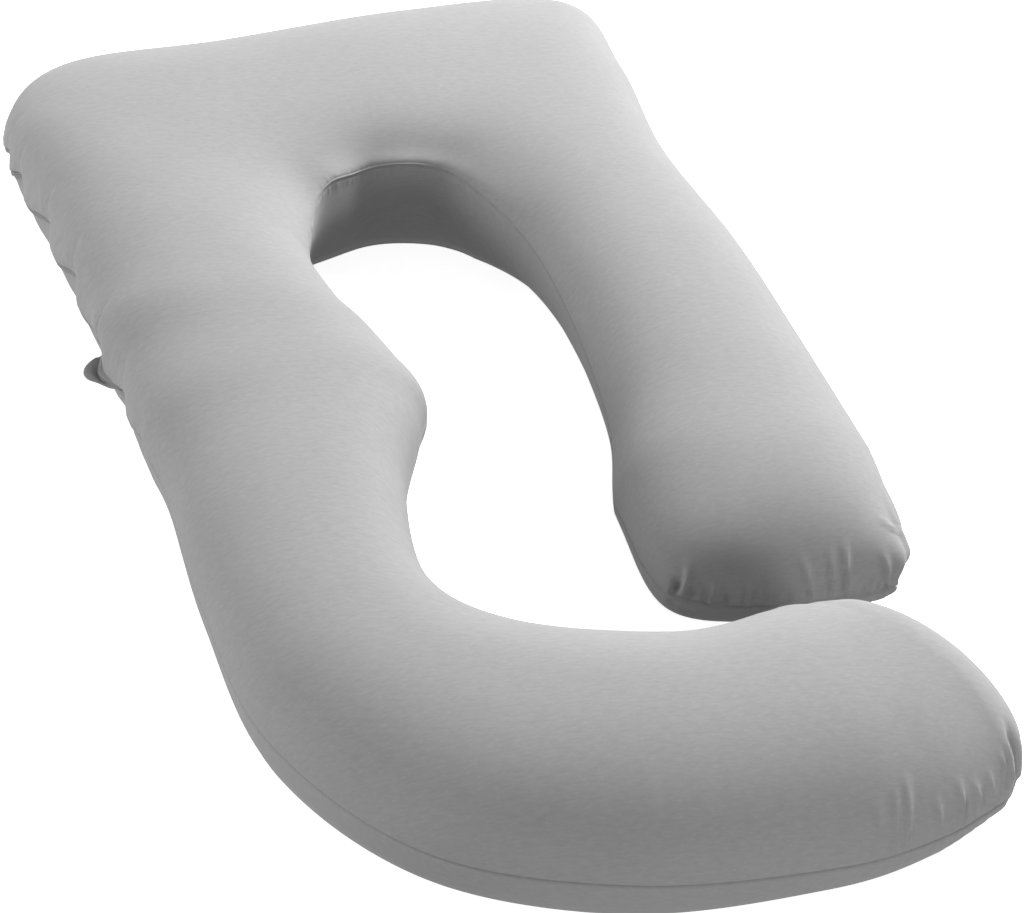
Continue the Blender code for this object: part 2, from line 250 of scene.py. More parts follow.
def panelGrids():
    # top and bottom panel as grids of points that share their rim
    row, share, way, reach, rounding = ringPlan()
    u = crowded(np.linspace(-1, 1, cover["columns"] + 1), cover["rimCrowding"])[None, :]
    v = share[:, None]
    corner = rounding[:, :1] + (rounding[:, 1:] - rounding[:, :1]) * smoothStep(-1, 1, u)
    x = u * np.sqrt(1 - corner * v**2)
    y = v * np.sqrt(1 - corner * u**2)
    lift = np.sqrt(np.maximum((1 - u**2) * (1 - v**2), 0))
    radius = np.sqrt(np.maximum(1 - lift**2, 0))
    side = x / np.maximum(np.hypot(x, y), 1e-9)
    fullness = 1 - cover["endFullness"] * v**2 - cover["cornerFullness"] * (u * v)**2
    seamIn, seamOut, crown = row[:, 5:6], row[:, 6:7], row[:, 4:5]
    middle = (row[:, :2] + row[:, 2:4]) / 2
    half = (row[:, 2:4] - row[:, :2]) / 2
    grids = []
    for top in (True, False):
        power = cover["sidePower"]
        if not top:
            facing = seamIn * (1 - side) / 2 + seamOut * (1 + side) / 2
            power = np.clip(power - cover["wallSlope"] * (facing - cover["wallEven"]), *cover["wallBounds"])
        grow = np.where(radius > 1e-6, radius**power / np.maximum(radius, 1e-9), 0)
        px, py = x * grow, y * grow
        seamZ = crown * (seamIn * (1 - px) / 2 + seamOut * (1 + px) / 2)
        rise = lift ** (fullness * (cover["crownPower"] if top else 1))
        under = np.maximum(seamZ - seamZ * cover["underShare"] * rise, 0)
        z = seamZ + (crown - seamZ) * rise if top else under
        beyond = py[..., None] * (way * reach[:, None])[:, None]
        plan = middle[:, None] + px[..., None] * half[:, None] + beyond
        grids.append(easeInnerSide(np.concatenate([plan - planZero, z[..., None]], -1), u))
    return grids


def easeInnerSide(grid, u):
    # evens out the inner bend from ring to ring, fading towards the outer side and both legs
    step = np.arange(-3 * cover["easeRings"], 3 * cover["easeRings"] + 1)
    weights = np.exp(-(step / cover["easeRings"])**2 / 2)
    ring = np.clip(np.arange(len(grid))[:, None] + step, 0, len(grid) - 1)
    eased = np.einsum("rkcx,k->rcx", grid[ring], weights / weights.sum())
    starts = cover["shortRings"] + np.cumsum([0] + [row[7] for row in sections.values()])
    low = starts[list(sections).index(cover["easeFrom"])]
    high = starts[list(sections).index(cover["easeTo"])]
    share = plateau((low - 10, low + 10, high - 12, high), np.arange(len(grid)))[:, None]
    share = share * (1 - smoothStep(-0.3, 0.7, u))
    return grid + (eased - grid) * share[..., None]


def flatPattern(grid):
    # where each point lay on the cloth before sewing: its section's middle, plus the length over the filling
    middle = grid.shape[1] // 2
    step = np.linalg.norm(np.diff(grid, axis=1), axis=2)
    run = np.concatenate([np.zeros((len(grid), 1)), np.cumsum(step, axis=1)], 1)
    run -= run[:, middle:middle + 1]
    across = grid[:, -1, :2] - grid[:, 0, :2]
    across /= np.maximum(np.linalg.norm(across, axis=1), 1e-6)[:, None]
    spine = grid[:, middle]
    flat = spine[:, :2].copy()
    for order in (range(cover["shortRings"], -1, -1), range(len(grid) - 1 - cover["hookRings"], len(grid))):
        order = list(order)
        for a, b in zip(order[:-1], order[1:]):
            move = spine[b] - spine[a]
            plan = np.linalg.norm(move[:2])
            way = move[:2] / plan if plan > 1e-6 else np.zeros(2)
            flat[b] = flat[a] + way * np.linalg.norm(move)
    return flat[:, None] + across[:, None] * run[..., None]


def lengths(grid):
    # how far along the cloth each point lies from the inner, outer, short-end and hook-end seam
    across = np.linalg.norm(np.diff(grid, axis=1), axis=2)
    inner = np.concatenate([np.zeros((len(grid), 1)), np.cumsum(across, axis=1)], 1)
    along = np.linalg.norm(np.diff(grid, axis=0), axis=2)
    short = np.concatenate([np.zeros((1, grid.shape[1])), np.cumsum(along, axis=0)], 0)
    return {"inner": inner, "outer": inner[:, -1:] - inner, "short": short, "hook": short[-1:] - short}


def runAlong(line):
    return np.concatenate([[0], np.cumsum(np.linalg.norm(np.diff(line, axis=0), axis=1))])


def rightOf(line):
    run = np.gradient(line[:, :2], axis=0)
    run /= np.maximum(np.linalg.norm(run, axis=1), 1e-9)[:, None]
    return np.column_stack([run[:, 1], -run[:, 0], np.zeros(len(run))])


def outwardOf(grid, top):
    across, along = np.gradient(grid, axis=1), np.gradient(grid, axis=0)
    normal = np.cross(across, along) if top else np.cross(along, across)
    return normal / np.maximum(np.linalg.norm(normal, axis=2), 1e-12)[..., None]


# Folds by the stretch of seam they spring from: where on it, where over the cloth they begin and end, height
# (a hollow is below 0), width, all in millimetres, and how far they lean along the seam per millimetre.
folds = {
    "shortEnd": {                              # across the short leg's end, from its inner corner
        "cornerDent": (6, 0, 34, -5.8, 4.5, 0.25),
        "innerRidge": (13, 6, 62, 5.0, 4.0, 0.33),
        "innerDent":  (22, 0, 26, -5.8, 4.5, 0.30),
        "first":      (46, 0, 38, 3.6, 4.0, 0.10),
        "kinkDent":   (60, 0, 22, -5.4, 5.0, 0.00),
        "second":     (81, 0, 50, 5.5, 4.0, 0.17),
        "faint":      (104, 0, 40, 2.8, 4.5, 0.00),
        "middleDent": (121, 0, 20, -4.6, 5.0, 0.00),
        "leaning":    (155, 0, 70, 5.9, 3.8, -0.30),
        "long1":      (177, 0, 72, 5.9, 3.6, -0.15),
        "long2":      (193, 0, 78, 7.3, 3.4, -0.13),
        "short":      (223, 0, 30, 4.1, 4.0, 0.00),
        "outerTuck":  (246, 0, 60, 4.1, 4.4, -0.35),
        "corner":     (268, 0, 46, -3.6, 4.2, -0.30),
        "side1":      (281, 14, 160, 5.3, 4.2, -0.25),     # the long folds that run back along the outer side
        "side2":      (272, 14, 150, 4.9, 4.0, -0.25),
        "side3":      (291, 12, 120, 4.4, 4.2, -0.22),
        "sideShort":  (333, 64, 94, 3.7, 4.0, -1.20),
    },
    "outer": {                                 # back from the hook's outer corner
        "lobe":    (-41, 10, 108, 3.2, 7.0, 0.05),
        "crease":  (-52, 3, 104, -7.5, 4.2, 0.00),
        "ridge1":  (-60, 12, 88, 3.2, 3.4, 0.00),
        "crease2": (-66, 18, 78, -3.0, 3.4, 0.00),
        "ridge2":  (-48, 26, 76, 2.8, 3.6, -0.39),
        "front1":  (-88, 16, 62, 3.2, 4.4, -0.15),
        "front2":  (-106, 8, 62, 4.1, 4.4, -0.27),
        "front3":  (-142, 4, 72, 5.7, 4.4, 0.00),
        "dark3":   (-151, 2, 46, -4.6, 4.6, 0.00),
        "front4":  (-172, 4, 62, 4.9, 4.6, 0.00),
        "front5":  (-212, 4, 96, 4.6, 4.8, 0.09),
        "front6":  (-226, 4, 88, 3.5, 4.4, 0.10),
        "front7":  (-240, 4, 82, 3.5, 4.4, 0.00),
    },
}
foldShape = {
    "valley": 0.8,                                 # depth of the hollows beside a ridge
    "narrow": 0.75, "spread": 0.75,                # width at its foot, and how much wider at its far end
    "fadeFrom": 0.4, "rise": 9 * mm,               # where it begins to run out; how soon it is high
    "underHeight": 0.22, "underLength": 0.45,      # the lower panel's share of the named folds
}
# The finer, uneven gathers between them: the seam they spring from, where along it they start and stop (in
# metres; from its far end where below 0, and 0 as a stop is that end), and each panel's share, top first.
gathers = {
    "shortEnd":  {"seed": 11, "pitch": 10 * mm, "length": 46 * mm, "height": 2.8 * mm, "width": 3.6 * mm,
                  "side": "short", "span": (0.012, -0.012), "share": (1, 0.22)},
    "hookEnd":   {"seed": 14, "pitch": 11 * mm, "length": 56 * mm, "height": 2.3 * mm, "width": 4.0 * mm,
                  "side": "hook", "span": (0.012, -0.012), "share": (1, 0.22)},
    "hookFront": {"seed": 12, "pitch": 12 * mm, "length": 72 * mm, "height": 2.0 * mm, "width": 4.0 * mm,
                  "side": "outer", "span": (-0.25, -0.08), "share": (1, 0.22)},
    "innerWall": {"seed": 13, "pitch": 7 * mm, "length": 26 * mm, "height": 1.5 * mm, "width": 2.8 * mm,
                  "side": "inner", "span": (0.60, 1.015), "share": (0.3, 1)},
    "plainSide": {"seed": 15, "pitch": 26 * mm, "length": 30 * mm, "height": 0.5 * mm, "width": 4.5 * mm,
                  "side": "outer", "span": (0.05, -0.26), "share": (1, 0.22)},
    "zipSide":   {"seed": 16, "pitch": 30 * mm, "length": 80 * mm, "height": 0.9 * mm, "width": 6.0 * mm,
                  "side": "outer", "span": (0.0, 0.0), "share": (1, 0)},
}
# How uneven they are: the least and most share of each measure, and a gather that is a hollow one.
uneven = {
    "height": (0.35, 1.0), "hollow": -0.7, "length": (0.45, 1.0), "width": (0.8, 1.3), "lean": (-0.15, 0.15),
    "step": (0.6, 1.4), "rise": 7 * mm,
}
seam = {
    "depth": 4.4 * mm, "width": 1.3 * mm,
    # the seam allowance stands up as a thin welt round the inner bend
    "weltTall": 2.2 * mm, "weltWide": 1.0 * mm, "weltAway": 1.9 * mm, "weltSpan": (0.72, 0.75, 0.885, 0.915),
}
# The short end's corners: where along which seam, how far they move in plan, and how far round that carries.
# A flipped corner's upper cloth goes the other way, between two distances from the seams.
heels = {
    "inner":     {"side": "inner", "aside": 0.0, "move": (-11 * mm, -10 * mm), "round": 62 * mm, "flip": 0},
    "innerSide": {"side": "inner", "aside": 0.110, "move": (5 * mm, 1 * mm), "round": 55 * mm, "flip": 0},
    "outer":     {"side": "outer", "aside": 0.0, "move": (-7 * mm, 0), "round": 26 * mm, "flip": 1.9},
}
flipAway = (6 * mm, 34 * mm)
# Small pushes of the filling that even out the hook's crest: plan place, move in plan, how far round.
pushes = {
    "crestDip":  (0.592, 0.288, 0.0, 4.5 * mm, 32 * mm),
    "crestPeak": (0.614, 0.280, 0.0, -4.0 * mm, 17 * mm),
}
# Round the inner bend the seam lies lower and further back, and the cloth over it slopes off gently.
bend = {
    "span": (0.60, 0.74, 0.88, 1.00), "slopeSpan": (0.44, 0.66, 0.88, 1.00),   # along the inner seam
    "shift": (7 * mm, 17 * mm, -12.5 * mm), "hold": 55 * mm,
    "slope": 8 * mm, "slopeAt": 48 * mm,
    "riseAt": 0.870, "riseLong": 0.030, "rise": 7 * mm,
}
zipSide = {
    # each pucker of the zip: its y on the plan, and in millimetres how far it draws the seam in and up, and
    # its reach behind
    "puckers": ((1.347, 8, 13, 40), (1.287, 8.5, 16, 46), (1.177, 9.5, 17, 74), (1.062, 9, 18, 68),
                (0.933, 9.5, 18, 90), (0.848, 3.5, 8, 38), (0.769, 3, 4, 26)),
    "front": 30 * mm,                              # a pucker's shorter reach on its near side
    "drawUp": 22 * mm, "liftUp": 30 * mm,          # how far up the cloth follows the seam, and how far down
    "drawDown": 32 * mm, "liftDown": 60 * mm,
    "span": (0.76, 0.82, 1.40, 1.44), "sideX": 0.1,    # the zip on the plan: its y, and the x it stays below
    "swell": 0.8 * mm, "swellUp": (14 * mm, 70 * mm), "swellFull": 7 * mm,     # between the puckers
    "tuckUnder": 3 * mm, "tuckSpan": (4 * mm, 22 * mm, 60 * mm, 110 * mm), "groove": 2.2 * mm,
    "lipOut": 3.2 * mm, "lipSpan": (0, 4 * mm, 7.2 * mm, 36 * mm),
    "lipDroop": 4.5 * mm, "droopSpan": (0, 5 * mm, 8 * mm, 32 * mm),
    # the creases that rise from each pucker: millimetres along the seam, share of the depth and of the length
    "creases": ((-7, 0.6, 0.84), (4, 1.0, 1.0)), "creaseFull": 12 * mm,
    "crease": 4.6 * mm, "creaseLong": 75 * mm, "creaseWide": 5.0 * mm, "creaseLean": -0.65,
    "creaseFrom": 8 * mm,
}


def fold(run, away, place, start, end, height, width, lean, rise=foldShape["rise"]):
    # one soft ridge that springs from the seam, with a shallow valley on either side
    share = np.clip((away - start) / (end - start), 0, 1)
    x = (run - place - lean * away) / (width * (foldShape["narrow"] + foldShape["spread"] * share))
    shape = (1 - foldShape["valley"] * x**2) * np.exp(-x**2)
    fading = 1 - smoothStep(foldShape["fadeFrom"], 1.0, share)
    return height * shape * smoothStep(start, start + rise, away) * fading


def scatter(run, away, spec, low, high):
    # uneven small gathers between two places along a seam
    rng = np.random.default_rng(spec["seed"])
    lift = np.zeros(np.broadcast(run, away).shape)
    place = low
    while place < high:
        height = spec["height"] * rng.uniform(*uneven["height"]) * rng.choice([1, 1, uneven["hollow"]])
        length = spec["length"] * rng.uniform(*uneven["length"])
        width = spec["width"] * rng.uniform(*uneven["width"])
        lift += fold(run, away, place, 0, length, height, width, rng.uniform(*uneven["lean"]), uneven["rise"])
        place += spec["pitch"] * rng.uniform(*uneven["step"])
    return lift


def zipPull(rim):
    # along the rim: how far the zip's puckers draw it in and lift it, the swell between them, and the zip
    y = rim[:, 1] + planZero[1]
    onSide = rim[:, 0] + planZero[0] < zipSide["sideX"]
    pull, lift, near = np.zeros(len(rim)), np.zeros(len(rim)), np.zeros(len(rim))
    for place, inward, upward, behind in zipSide["puckers"]:
        before = 1 - smoothStep(0, zipSide["front"], place - y)
        after = 1 - smoothStep(0, behind * mm, y - place)
        reach = np.where(y > place, after, before)
        pull = np.maximum(pull, inward * mm * reach)
        lift = np.maximum(lift, upward * mm * reach)
        near = np.maximum(near, reach * min(inward * mm / zipSide["swellFull"], 1))
    zipped = onSide * plateau(zipSide["span"], y)
    return pull * onSide, lift * onSide, (1 - near) * zipped, zipped


def foldLift(along, away, corner, isTop):
    # the named folds of both ends
    share, shorter = (1, 1) if isTop else (foldShape["underHeight"], foldShape["underLength"])
    lift = np.zeros(away["outer"].shape)
    for side, zero, rows in (("short", 0.0, folds["shortEnd"]), ("outer", corner, folds["outer"])):
        for place, start, end, height, width, lean in rows.values():
            lift += share * fold(along[side], away[side], zero + place * mm, start * shorter * mm,
                                 end * shorter * mm, height * mm, width * mm, lean)
    return lift


def gatherLift(along, away, ends, zipRings, isTop):
    # the small gathers along every seam; those of the zip's side stay with the rings it works on
    lift = np.zeros(away["outer"].shape)
    for name, spec in gathers.items():
        share = spec["share"][0 if isTop else 1]
        if share == 0:
            continue
        end = ends[spec["side"]]
        start, stop = spec["span"]
        start = start if start >= 0 else end + start
        stop = stop if stop > 0 else end + stop
        gathered = share * scatter(along[spec["side"]], away[spec["side"]], spec, start, stop)
        lift += gathered * zipRings if name == "zipSide" else gathered
    return lift


def creaseLift(along, away, rim):
    # creases that rise from each of the zip's puckers
    run, y = along["outer"], rim[:, 1] + planZero[1]
    onSide = rim[:, 0] + planZero[0] < zipSide["sideX"]
    lift = np.zeros(away["outer"].shape)
    for place, inward, _, _ in zipSide["puckers"]:
        at = run[int(np.argmin(np.where(onSide, np.abs(y - place), np.inf))), 0]
        deep = zipSide["crease"] * min(inward * mm / zipSide["creaseFull"], 1)
        for aside, depth, length in zipSide["creases"]:
            lift -= fold(run, away["outer"], at + aside * mm, zipSide["creaseFrom"],
                         zipSide["creaseLong"] * length, deep * depth, zipSide["creaseWide"],
                         zipSide["creaseLean"])
    return lift


def weltLift(run, away):
    # the thin welt along the inner bend's seam
    ridge = np.exp(-((away - seam["weltAway"]) / seam["weltWide"])**2)
    return seam["weltTall"] * plateau(seam["weltSpan"], run) * ridge


def fillingMove(grid, away, rims, isTop):
    # the short end's corners and the hook's crest, pushed in plan
    move = np.zeros_like(grid)
    for heel in heels.values():
        rim = rims[heel["side"]]
        place = rim[int(np.argmin(np.abs(runAlong(rim) - heel["aside"])))]
        near = np.exp(-(np.hypot(grid[..., 0] - place[0], grid[..., 1] - place[1]) / heel["round"])**2)
        if isTop:
            near = near * (1 - heel["flip"] * smoothStep(*flipAway, np.minimum(away["outer"], away["short"])))
        move[..., :2] += near[..., None] * np.array(heel["move"])
    for x, y, moveX, moveY, reach in pushes.values():
        apart = np.hypot(grid[..., 0] + planZero[0] - x, grid[..., 1] + planZero[1] - y)
        move[..., :2] += np.exp(-(apart / reach)**2)[..., None] * np.array((moveX, moveY))
    return move


def bendMove(run, away, isTop):
    # the inner bend's seam set lower and further back, and the slope of the cloth above it
    hold = plateau(bend["span"], run) * np.exp(-(away / bend["hold"])**2)
    move = np.array(bend["shift"]) * hold[..., None]
    move[..., 2] += bend["rise"] * hold * np.exp(-((run - bend["riseAt"]) / bend["riseLong"])**2)
    if isTop:
        t = away / bend["slopeAt"]
        move[..., 2] -= bend["slope"] * plateau(bend["slopeSpan"], run) * t**2 * np.exp(2 * (1 - t))
    return move


def zipMove(away, way, zipParts, isTop):
    # each pucker draws the seam in and up, and the upper panel rolls over it as a lip
    pull, raised, swell, zipped = (part[:, None] for part in zipParts)
    if isTop:
        hold, carry = np.exp(-(away / zipSide["drawUp"])**2), np.exp(-(away / zipSide["liftUp"])**2)
        out = swell * zipSide["swell"] * (1 - smoothStep(*zipSide["swellUp"], away)) \
            + zipped * zipSide["lipOut"] * plateau(zipSide["lipSpan"], away)
        droop = zipSide["lipDroop"] * zipped * plateau(zipSide["droopSpan"], away)
    else:
        hold, carry = np.exp(-(away / zipSide["drawDown"])**2), np.exp(-(away / zipSide["liftDown"])**2)
        out = -zipSide["tuckUnder"] * zipped * plateau(zipSide["tuckSpan"], away)
        droop = 0
    move = way[:, None] * (out - pull * hold)[..., None]
    move[..., 2] += raised * carry - droop
    return move


def grooveMove(away, ways, zipped):
    # the seam itself lies in a narrow groove, deeper along the zip
    drawn, total = 0, 0
    for side, way in ways.items():
        weight = np.exp(-away[side] / seam["width"])
        drawn = drawn + weight[..., None] * (way[:, None] if side in ("outer", "inner") else way[None, :])
        total = total + weight
    depth = seam["depth"] + zipSide["groove"] * zipped[:, None, None]
    return -depth * drawn / np.maximum(total, 1)[..., None]


def dressPanels(top, under):
    # the plain panels with all their folds, draws and seams
    rims = {"outer": top[:, -1].copy(), "inner": top[:, 0].copy(),
            "short": top[0].copy(), "hook": top[-1].copy()}
    ways = {"outer": rightOf(rims["outer"]), "inner": -rightOf(rims["inner"]),
            "short": rightOf(rims["short"]), "hook": -rightOf(rims["hook"])}
    runs = {side: runAlong(line) for side, line in rims.items()}
    ends = {side: run[-1] for side, run in runs.items()}
    along = {side: run[:, None] if side in ("outer", "inner") else run[None, :] for side, run in runs.items()}
    pull, raised, swell, zipped = zipPull(rims["outer"])
    zipRings = (pull + swell > 0)[:, None]
    dressed = []
    for grid, isTop in ((top, True), (under, False)):
        away = lengths(grid)
        lift = foldLift(along, away, ends["outer"], isTop) + gatherLift(along, away, ends, zipRings, isTop)
        if isTop:
            lift += creaseLift(along, away, rims["outer"]) + weltLift(along["inner"], away["inner"])
        moved = grid + outwardOf(grid, isTop) * lift[..., None]
        moved += fillingMove(grid, away, rims, isTop)
        moved += bendMove(along["inner"], away["inner"], isTop)
        moved += zipMove(away["outer"], ways["outer"], (pull, raised, swell, zipped), isTop)
        moved += grooveMove(away, ways, zipped)
        moved[..., 2] = np.maximum(moved[..., 2], 0)
        dressed.append(moved)
    return dressed


def bridge(a, b):
    # faces between two rows of points that may take different columns: quads where both step, else triangles
    faces, i, j = [], 0, 0
    while i < len(a) - 1 or j < len(b) - 1:
        nextA = a[i + 1][0] if i < len(a) - 1 else 1e9
        nextB = b[j + 1][0] if j < len(b) - 1 else 1e9
        if nextA == nextB:
            faces.append((a[i], a[i + 1], b[j + 1], b[j]))
            i, j = i + 1, j + 1
        elif nextA < nextB:
            faces.append((a[i], a[i + 1], b[j]))
            i += 1
        else:
            faces.append((b[j + 1], b[j], a[i]))
            j += 1
    return faces


def meshFromPanels(name, top, under, flats):
    # both panels as one closed skin: fine columns at the ends, every other one along the legs
    rows, columns = top.shape[:2]
    edge = cover["underEdge"]
    near, far = cover["seamCells"], columns - 1 - cover["seamCells"]
    legTop = list(range(near)) + list(range(near, far, 2)) + list(range(far, columns))
    legUnder = list(range(0, edge, 2)) + list(range(edge, columns - 1 - edge, cover["underStep"])) \
        + list(range(columns - 1 - edge, far, 2)) + list(range(far, columns))
    verts, uvs, faces, number = [], [], [], {}
    for panel, (grid, flat) in enumerate(((top, flats[0]), (under, flats[1]))):
        lines = []
        for r in range(rows):
            fine = r < cover["shortRings"] + cover["shortFine"] \
                or r >= rows - cover["hookRings"] - cover["hookFine"]
            line = []
            for c in (range(columns) if fine else (legUnder if panel else legTop)):
                onRim = r in (0, rows - 1) or c in (0, columns - 1)
                key = (0 if onRim else panel, r, c)
                if key not in number:
                    number[key] = len(verts)
                    verts.append(grid[r, c])
                line.append((c, number[key], flat[r, c]))
            lines.append(line)
        for a, b in zip(lines[:-1], lines[1:]):
            for cell in bridge(a, b):
                cell = cell[::-1] if panel else cell
                faces.append([v[1] for v in cell])
                uvs.extend(v[2] for v in cell)
    mesh = bpy.data.meshes.new(name)
    mesh.from_pydata([tuple(v) for v in verts], [], faces)
    mesh.polygons.foreach_set("use_smooth", [True] * len(faces))
    layer = mesh.uv_layers.new(name="clothFlat")
    layer.data.foreach_set("uv", np.array(uvs).ravel())
    mesh.update()
    piece = bpy.data.objects.new(name, mesh)
    scene.collection.objects.link(piece)
    return piece


# The folded strip over the zip lies on the lower panel right under the seam. Its cut end: down over the cloth
# and height above it, in millimetres; three rolls with a stitched valley between each.
strip = {
    "topY": 1.396, "lowY": 0.866, "loops": 260, "below": 3.2,
    "taper": 6, "tip": 0.35,                       # loops over which each end narrows, and to what share
    "profile": ((0.2, 0.4), (0.9, 2.3), (1.8, 3.0), (2.7, 2.4), (3.1, 0.9), (3.5, 2.3), (4.6, 2.9),
                (5.6, 2.3), (6.0, 0.8), (6.5, 2.1), (7.6, 2.6), (8.8, 2.0), (9.8, 0.5), (9.9, -0.3),
                (5.0, -0.4), (0.4, -0.4)),
    "edgeColumns": 40, "plainFrom": 5 * mm,        # columns it can lie on; its lean is read from here on
    "valleys": (3.1, 6.0), "valleyHigh": 0.95,     # where the two rows of stitching lie
    "stitchEvery": 3.4 * mm, "stitchLong": 2.5 * mm, "stitchThick": 0.6 * mm,      # real thread 0.3 mm
    "paintedShadeScale": 0.72,                                  # painted shade: the strip's cloth darkened for the shadow it lies in under the lip
}
# The strip's loose end stands out as a soft ear: along the seam from its upper root, and reach, in mm.
ear = {
    "topY": 0.928, "long": 0.064, "off": 0.9 * mm, "least": 0.8,
    "outline": ((0, 3), (5, 10), (10, 20), (15, 28), (20, 32), (26, 31), (34, 25), (42, 20), (50, 16),
                (57, 11), (64, 4)),
    "thick": 2.4 * mm, "droop": 3.0 * mm, "cells": (40, 22),
    "rise": 2.0 * mm, "riseReach": 25 * mm,        # the leaf lifts towards its edge
    # the tuck that parts the ear's rolled root from its leaf: depth, where, width, and its stretch of the ear
    "tuck": 4.0 * mm, "tuckAt": 15 * mm, "tuckWide": 2.2 * mm, "tuckSpan": (0, 0.12, 0.55, 0.8),
    "roll": 2.0 * mm, "rollWide": 3.2 * mm, "rollAt": 0.35,
}


def smoothRead(table, at):
    # reads a two-column table with a smooth curve through its rows
    table = np.asarray(table, float)
    place = np.interp(at, table[:, 0], np.arange(len(table)))
    return spline(table, np.atleast_1d(place))[:, 1]


def zipLine(rim, way, topY, lowY, count, margin=0.02):
    # the stretch of the long leg's seam between two plan heights, evenly stepped, with its outward ways
    y = rim[:, 1] + planZero[1]
    onSide = rim[:, 0] + planZero[0] < zipSide["sideX"]
    keep = np.where((y <= topY + margin) & (y >= lowY - margin) & onSide)[0]
    order = keep[np.argsort(-y[keep])]
    at = np.linspace(topY, lowY, count)
    line = np.column_stack([np.interp(-at, -y[order], rim[order, k]) for k in range(3)])
    out = np.column_stack([np.interp(-at, -y[order], way[order, k]) for k in range(3)])
    return line, out / np.linalg.norm(out, axis=1)[:, None]


def closedSweep(name, loops):
    # a closed skin through matching loops, capped at both ends, with a UV map in metres
    rows, points = len(loops), len(loops[0])
    run = runAlong(np.array([loop.mean(axis=0) for loop in loops]))
    around = runAlong(np.vstack([loops[rows // 2], loops[rows // 2][:1]]))
    verts = np.concatenate(loops)
    faces, uvs = [], []
    for r in range(rows - 1):
        for p in range(points):
            q = (p + 1) % points
            faces.append((r * points + p, r * points + q, (r + 1) * points + q, (r + 1) * points + p))
            uvs += [(run[r], around[p]), (run[r], around[p + 1])]
            uvs += [(run[r + 1], around[p + 1]), (run[r + 1], around[p])]
    for cap in (list(range(points))[::-1], list(range((rows - 1) * points, rows * points))):
        faces.append(cap)
        uvs += [(verts[v][0], verts[v][2]) for v in cap]
    mesh = bpy.data.meshes.new(name)
    mesh.from_pydata([tuple(v) for v in verts], [], [tuple(f) for f in faces])
    layer = mesh.uv_layers.new(name="clothFlat")
    layer.data.foreach_set("uv", np.array(uvs).ravel())
    work = bmesh.new()
    work.from_mesh(mesh)
    bmesh.ops.recalc_face_normals(work, faces=work.faces)
    work.to_mesh(mesh)
    work.free()
    mesh.polygons.foreach_set("use_smooth", [True] * len(mesh.polygons))
    mesh.update()
    piece = bpy.data.objects.new(name, mesh)
    scene.collection.objects.link(piece)
    return piece


def layOnPanel(grid, rows, downs, highs):
    # points laid on the outer edge of the lower panel: so far down from the seam, so far above the cloth
    outward = outwardOf(grid, False)
    at = (np.array(downs) + strip["below"]) * mm
    edge = slice(None, -1 - strip["edgeColumns"], -1)      # from the rim inwards
    loops = []
    for r in rows:
        low = int(r)
        t = r - low
        line = grid[low, edge] * (1 - t) + grid[low + 1, edge] * t
        normal = outward[low, edge] * (1 - t) + outward[low + 1, edge] * t
        normal /= np.maximum(np.linalg.norm(normal, axis=1), 1e-9)[:, None]
        run = runAlong(line)
        place = np.column_stack([np.interp(at, run, line[:, k]) for k in range(3)])
        plain = np.maximum(at, strip["plainFrom"])
        lift = np.column_stack([np.interp(plain, run, normal[:, k]) for k in range(3)])
        loops.append(place + lift * (np.array(highs) * mm)[:, None])
    return loops


def rowsBetween(rim, topY, lowY, count, margin=0.03):
    # fractional ring numbers along the long leg's outer seam between two plan heights
    y = rim[:, 1] + planZero[1]
    onSide = rim[:, 0] + planZero[0] < zipSide["sideX"]
    keep = np.where(onSide & (y < topY + margin) & (y > lowY - margin))[0]
    return np.interp(-np.linspace(topY, lowY, count), -y[keep], keep)


def buildStrip(under):
    rows = rowsBetween(under[:, -1], strip["topY"], strip["lowY"], strip["loops"])
    downs, highs = zip(*strip["profile"])
    loops = layOnPanel(under, rows, downs, highs)
    for k in range(strip["taper"]):
        for index in (k, len(loops) - 1 - k):
            middle = loops[index].mean(axis=0)
            share = strip["tip"] + (1 - strip["tip"]) * k / strip["taper"]
            loops[index] = middle + (loops[index] - middle) * share
    return closedSweep("zipStripFolded", loops)


def stitchTree():
    # short stitches of thread at even steps along a line
    tree = bpy.data.node_groups.new("stitchesAlongLine", "GeometryNodeTree")
    tree.interface.new_socket("Line", in_out="INPUT", socket_type="NodeSocketGeometry")
    for name in ("Spacing", "Length", "Thickness"):
        tree.interface.new_socket(name, in_out="INPUT", socket_type="NodeSocketFloat")
    tree.interface.new_socket("Thread", in_out="INPUT", socket_type="NodeSocketMaterial")
    tree.interface.new_socket("Stitches", in_out="OUTPUT", socket_type="NodeSocketGeometry")
    given = addNode(tree, "NodeGroupInput").outputs
    path = addNode(tree, "GeometryNodeMeshToCurve", links={"Mesh": given["Line"]})
    places = addNode(tree, "GeometryNodeCurveToPoints", mode="LENGTH",
                     links={"Curve": path.outputs[0], "Length": given["Spacing"]})
    grain = addNode(tree, "GeometryNodeMeshUVSphere", {"Segments": 6, "Rings": 4, "Radius": 0.5})
    size = addNode(tree, "ShaderNodeCombineXYZ",
                   links={"X": given["Thickness"], "Y": given["Thickness"], "Z": given["Length"]})
    laid = addNode(tree, "GeometryNodeInstanceOnPoints",
                   links={"Points": places.outputs["Points"], "Instance": grain.outputs["Mesh"],
                          "Rotation": places.outputs["Rotation"], "Scale": size.outputs[0]})
    real = addNode(tree, "GeometryNodeRealizeInstances", links={"Geometry": laid.outputs[0]})
    threaded = addNode(tree, "GeometryNodeSetMaterial",
                       links={"Geometry": real.outputs[0], "Material": given["Thread"]})
    addNode(tree, "NodeGroupOutput", links={"Stitches": threaded.outputs[0]})
    return tree


